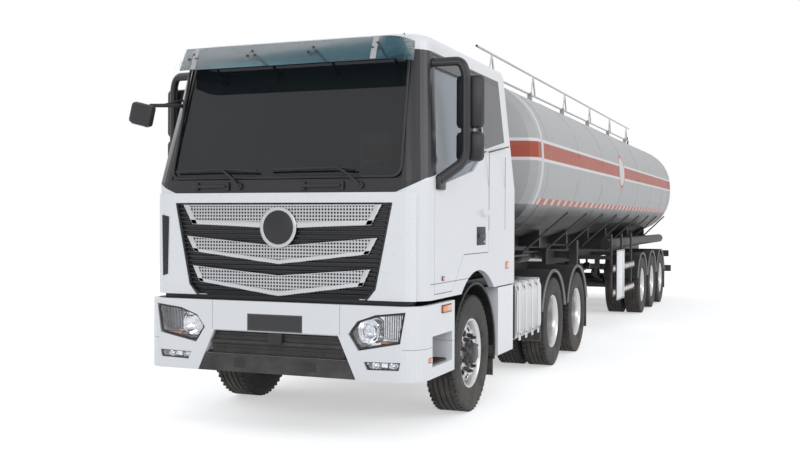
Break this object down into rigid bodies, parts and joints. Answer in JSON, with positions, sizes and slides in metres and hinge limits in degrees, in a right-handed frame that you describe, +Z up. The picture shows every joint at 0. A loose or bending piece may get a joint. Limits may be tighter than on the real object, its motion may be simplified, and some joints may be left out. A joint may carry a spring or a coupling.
{
  "type": "tanker truck",
  "caption": "Cab-over tractor unit hinged to a long oval tank semi-trailer, with turning wheels, steering, doors, a tilting cab and manhole lids.",
  "frame": {"origin": "on the ground under the middle of the whole vehicle", "axes": "-Y to the front, +X to the vehicle's left side, +Z up"},
  "size_m": [3.04, 16.6, 3.744],
  "materials": {
    "chassis_black": "satin",
    "cab_white": "gloss",
    "panel_white": "gloss",
    "trim_black": "matte",
    "lamp_clear": "gloss",
    "grille_silver": "satin",
    "visor_smoke": "gloss",
    "glass": "gloss",
    "seat_fabric": "matte",
    "aluminium": "satin",
    "tube_grey": "satin",
    "tank_silver": "gloss",
    "rim_steel": "polished",
    "tyre": "matte"
  },
  "bodies": {
    "tractor": {"chassis_frame": "chassis_black", "engine_block": "chassis_black", "front_axle": "chassis_black", "drive_axles": "chassis_black", "springs": "chassis_black", "fifth_wheel": "chassis_black", "front_bumper": "panel_white", "bumper_valance": "trim_black", "headlights": "lamp_clear", "side_steps": "panel_white", "fuel_tank": "aluminium", "battery_box": "chassis_black", "drive_fenders": "trim_black"},
    "cab": {"cab_shell": "cab_white", "windshield": "glass", "front_panel": "panel_white", "grille_bars": "grille_silver", "sun_visor": "visor_smoke", "seats": "seat_fabric", "dashboard": "trim_black", "front_mirror": "trim_black"},
    "left_door": {"left_door": "cab_white", "left_door_glass": "glass", "left_mirror": "trim_black"},
    "right_door": {"right_door": "cab_white", "right_door_glass": "glass", "right_mirror": "trim_black"},
    "left_knuckle": {"knuckle_left": "chassis_black"},
    "right_knuckle": {"knuckle_right": "chassis_black"},
    "front_wheel_left": {"front_rim_left": "rim_steel", "front_tyre_left": "tyre"},
    "front_wheel_right": {"front_rim_right": "rim_steel", "front_tyre_right": "tyre"},
    "trailer": {"tank": "tank_silver", "trailer_frame": "chassis_black", "trailer_axles": "chassis_black", "landing_legs": "chassis_black", "side_guards": "aluminium", "trailer_fenders": "trim_black", "hose_tubes": "tube_grey", "discharge_pipe": "aluminium", "rear_bumper": "chassis_black"},
    "handrail": {"handrail": "aluminium"},
    "manhole_lid_1": {"manhole_lid_1": "aluminium"},
    "manhole_lid_2": {"manhole_lid_2": "aluminium"},
    "manhole_lid_3": {"manhole_lid_3": "aluminium"},
    "drive_wheels_1_left": {"drive_wheels_1_left": "tyre"},
    "drive_wheels_1_right": {"drive_wheels_1_right": "tyre"},
    "drive_wheels_2_left": {"drive_wheels_2_left": "tyre"},
    "drive_wheels_2_right": {"drive_wheels_2_right": "tyre"},
    "trailer_wheels_1_left": {"trailer_wheels_1_left": "tyre"},
    "trailer_wheels_1_right": {"trailer_wheels_1_right": "tyre"},
    "trailer_wheels_2_left": {"trailer_wheels_2_left": "tyre"},
    "trailer_wheels_2_right": {"trailer_wheels_2_right": "tyre"},
    "trailer_wheels_3_left": {"trailer_wheels_3_left": "tyre"},
    "trailer_wheels_3_right": {"trailer_wheels_3_right": "tyre"}
  },
  "joints": [
    {"name": "cab_tilt", "type": "hinge", "parent": "tractor", "child": "cab", "pos_m": [0, -8.085, 1.15], "axis": [1, 0, 0], "range_deg": [0, 50]},
    {"name": "left_door_hinge", "type": "hinge", "parent": "cab", "child": "left_door", "pos_m": [1.245, -7.97, 1.6], "axis": [0, 0, -1], "range_deg": [0, 70]},
    {"name": "right_door_hinge", "type": "hinge", "parent": "cab", "child": "right_door", "pos_m": [-1.245, -7.97, 1.6], "axis": [0, 0, 1], "range_deg": [0, 70]},
    {"name": "left_steering", "type": "hinge", "parent": "tractor", "child": "left_knuckle", "pos_m": [0.87, -6.8, 0.522], "axis": [0, 0, 1], "range_deg": [-35, 35]},
    {"name": "right_steering", "type": "hinge", "parent": "tractor", "child": "right_knuckle", "pos_m": [-0.87, -6.8, 0.522], "axis": [0, 0, 1], "range_deg": [-35, 35]},
    {"name": "front_left_spin", "type": "hinge", "parent": "left_knuckle", "child": "front_wheel_left", "pos_m": [1.055, -6.8, 0.522], "axis": [-1, 0, 0], "continuous": true},
    {"name": "front_right_spin", "type": "hinge", "parent": "right_knuckle", "child": "front_wheel_right", "pos_m": [-1.055, -6.8, 0.522], "axis": [-1, 0, 0], "continuous": true},
    {"name": "trailer_yaw", "type": "hinge", "parent": "tractor", "child": "trailer", "pos_m": [0, -3.15, 1.25], "axis": [0, 0, 1], "range_deg": [-90, 90]},
    {"name": "handrail_fold", "type": "hinge", "parent": "trailer", "child": "handrail", "pos_m": [0.44, 0, 3.46], "axis": [0, -1, 0], "range_deg": [0, 90]},
    {"name": "drive_1_left_spin", "type": "hinge", "parent": "tractor", "child": "drive_wheels_1_left", "pos_m": [0.915, -3.7, 0.522], "axis": [-1, 0, 0], "continuous": true},
    {"name": "drive_1_right_spin", "type": "hinge", "parent": "tractor", "child": "drive_wheels_1_right", "pos_m": [-0.915, -3.7, 0.522], "axis": [-1, 0, 0], "continuous": true},
    {"name": "drive_2_left_spin", "type": "hinge", "parent": "tractor", "child": "drive_wheels_2_left", "pos_m": [0.915, -2.35, 0.522], "axis": [-1, 0, 0], "continuous": true},
    {"name": "drive_2_right_spin", "type": "hinge", "parent": "tractor", "child": "drive_wheels_2_right", "pos_m": [-0.915, -2.35, 0.522], "axis": [-1, 0, 0], "continuous": true},
    {"name": "trailer_1_left_spin", "type": "hinge", "parent": "trailer", "child": "trailer_wheels_1_left", "pos_m": [0.915, 3.63, 0.522], "axis": [-1, 0, 0], "continuous": true},
    {"name": "trailer_1_right_spin", "type": "hinge", "parent": "trailer", "child": "trailer_wheels_1_right", "pos_m": [-0.915, 3.63, 0.522], "axis": [-1, 0, 0], "continuous": true},
    {"name": "trailer_2_left_spin", "type": "hinge", "parent": "trailer", "child": "trailer_wheels_2_left", "pos_m": [0.915, 4.94, 0.522], "axis": [-1, 0, 0], "continuous": true},
    {"name": "trailer_2_right_spin", "type": "hinge", "parent": "trailer", "child": "trailer_wheels_2_right", "pos_m": [-0.915, 4.94, 0.522], "axis": [-1, 0, 0], "continuous": true},
    {"name": "trailer_3_left_spin", "type": "hinge", "parent": "trailer", "child": "trailer_wheels_3_left", "pos_m": [0.915, 6.25, 0.522], "axis": [-1, 0, 0], "continuous": true},
    {"name": "trailer_3_right_spin", "type": "hinge", "parent": "trailer", "child": "trailer_wheels_3_right", "pos_m": [-0.915, 6.25, 0.522], "axis": [-1, 0, 0], "continuous": true},
    {"name": "manhole_lid_1_hinge", "type": "hinge", "parent": "trailer", "child": "manhole_lid_1", "pos_m": [-0.21, -2.2, 3.467], "axis": [-1, 0, 0], "range_deg": [0, 100]},
    {"name": "manhole_lid_2_hinge", "type": "hinge", "parent": "trailer", "child": "manhole_lid_2", "pos_m": [-0.21, 2.035, 3.467], "axis": [-1, 0, 0], "range_deg": [0, 100]},
    {"name": "manhole_lid_3_hinge", "type": "hinge", "parent": "trailer", "child": "manhole_lid_3", "pos_m": [-0.21, 6.27, 3.467], "axis": [-1, 0, 0], "range_deg": [0, 100]}
  ],
  "couplings": [
    {"joint": "right_steering", "follows": "left_steering", "ratio": 1}
  ]
}
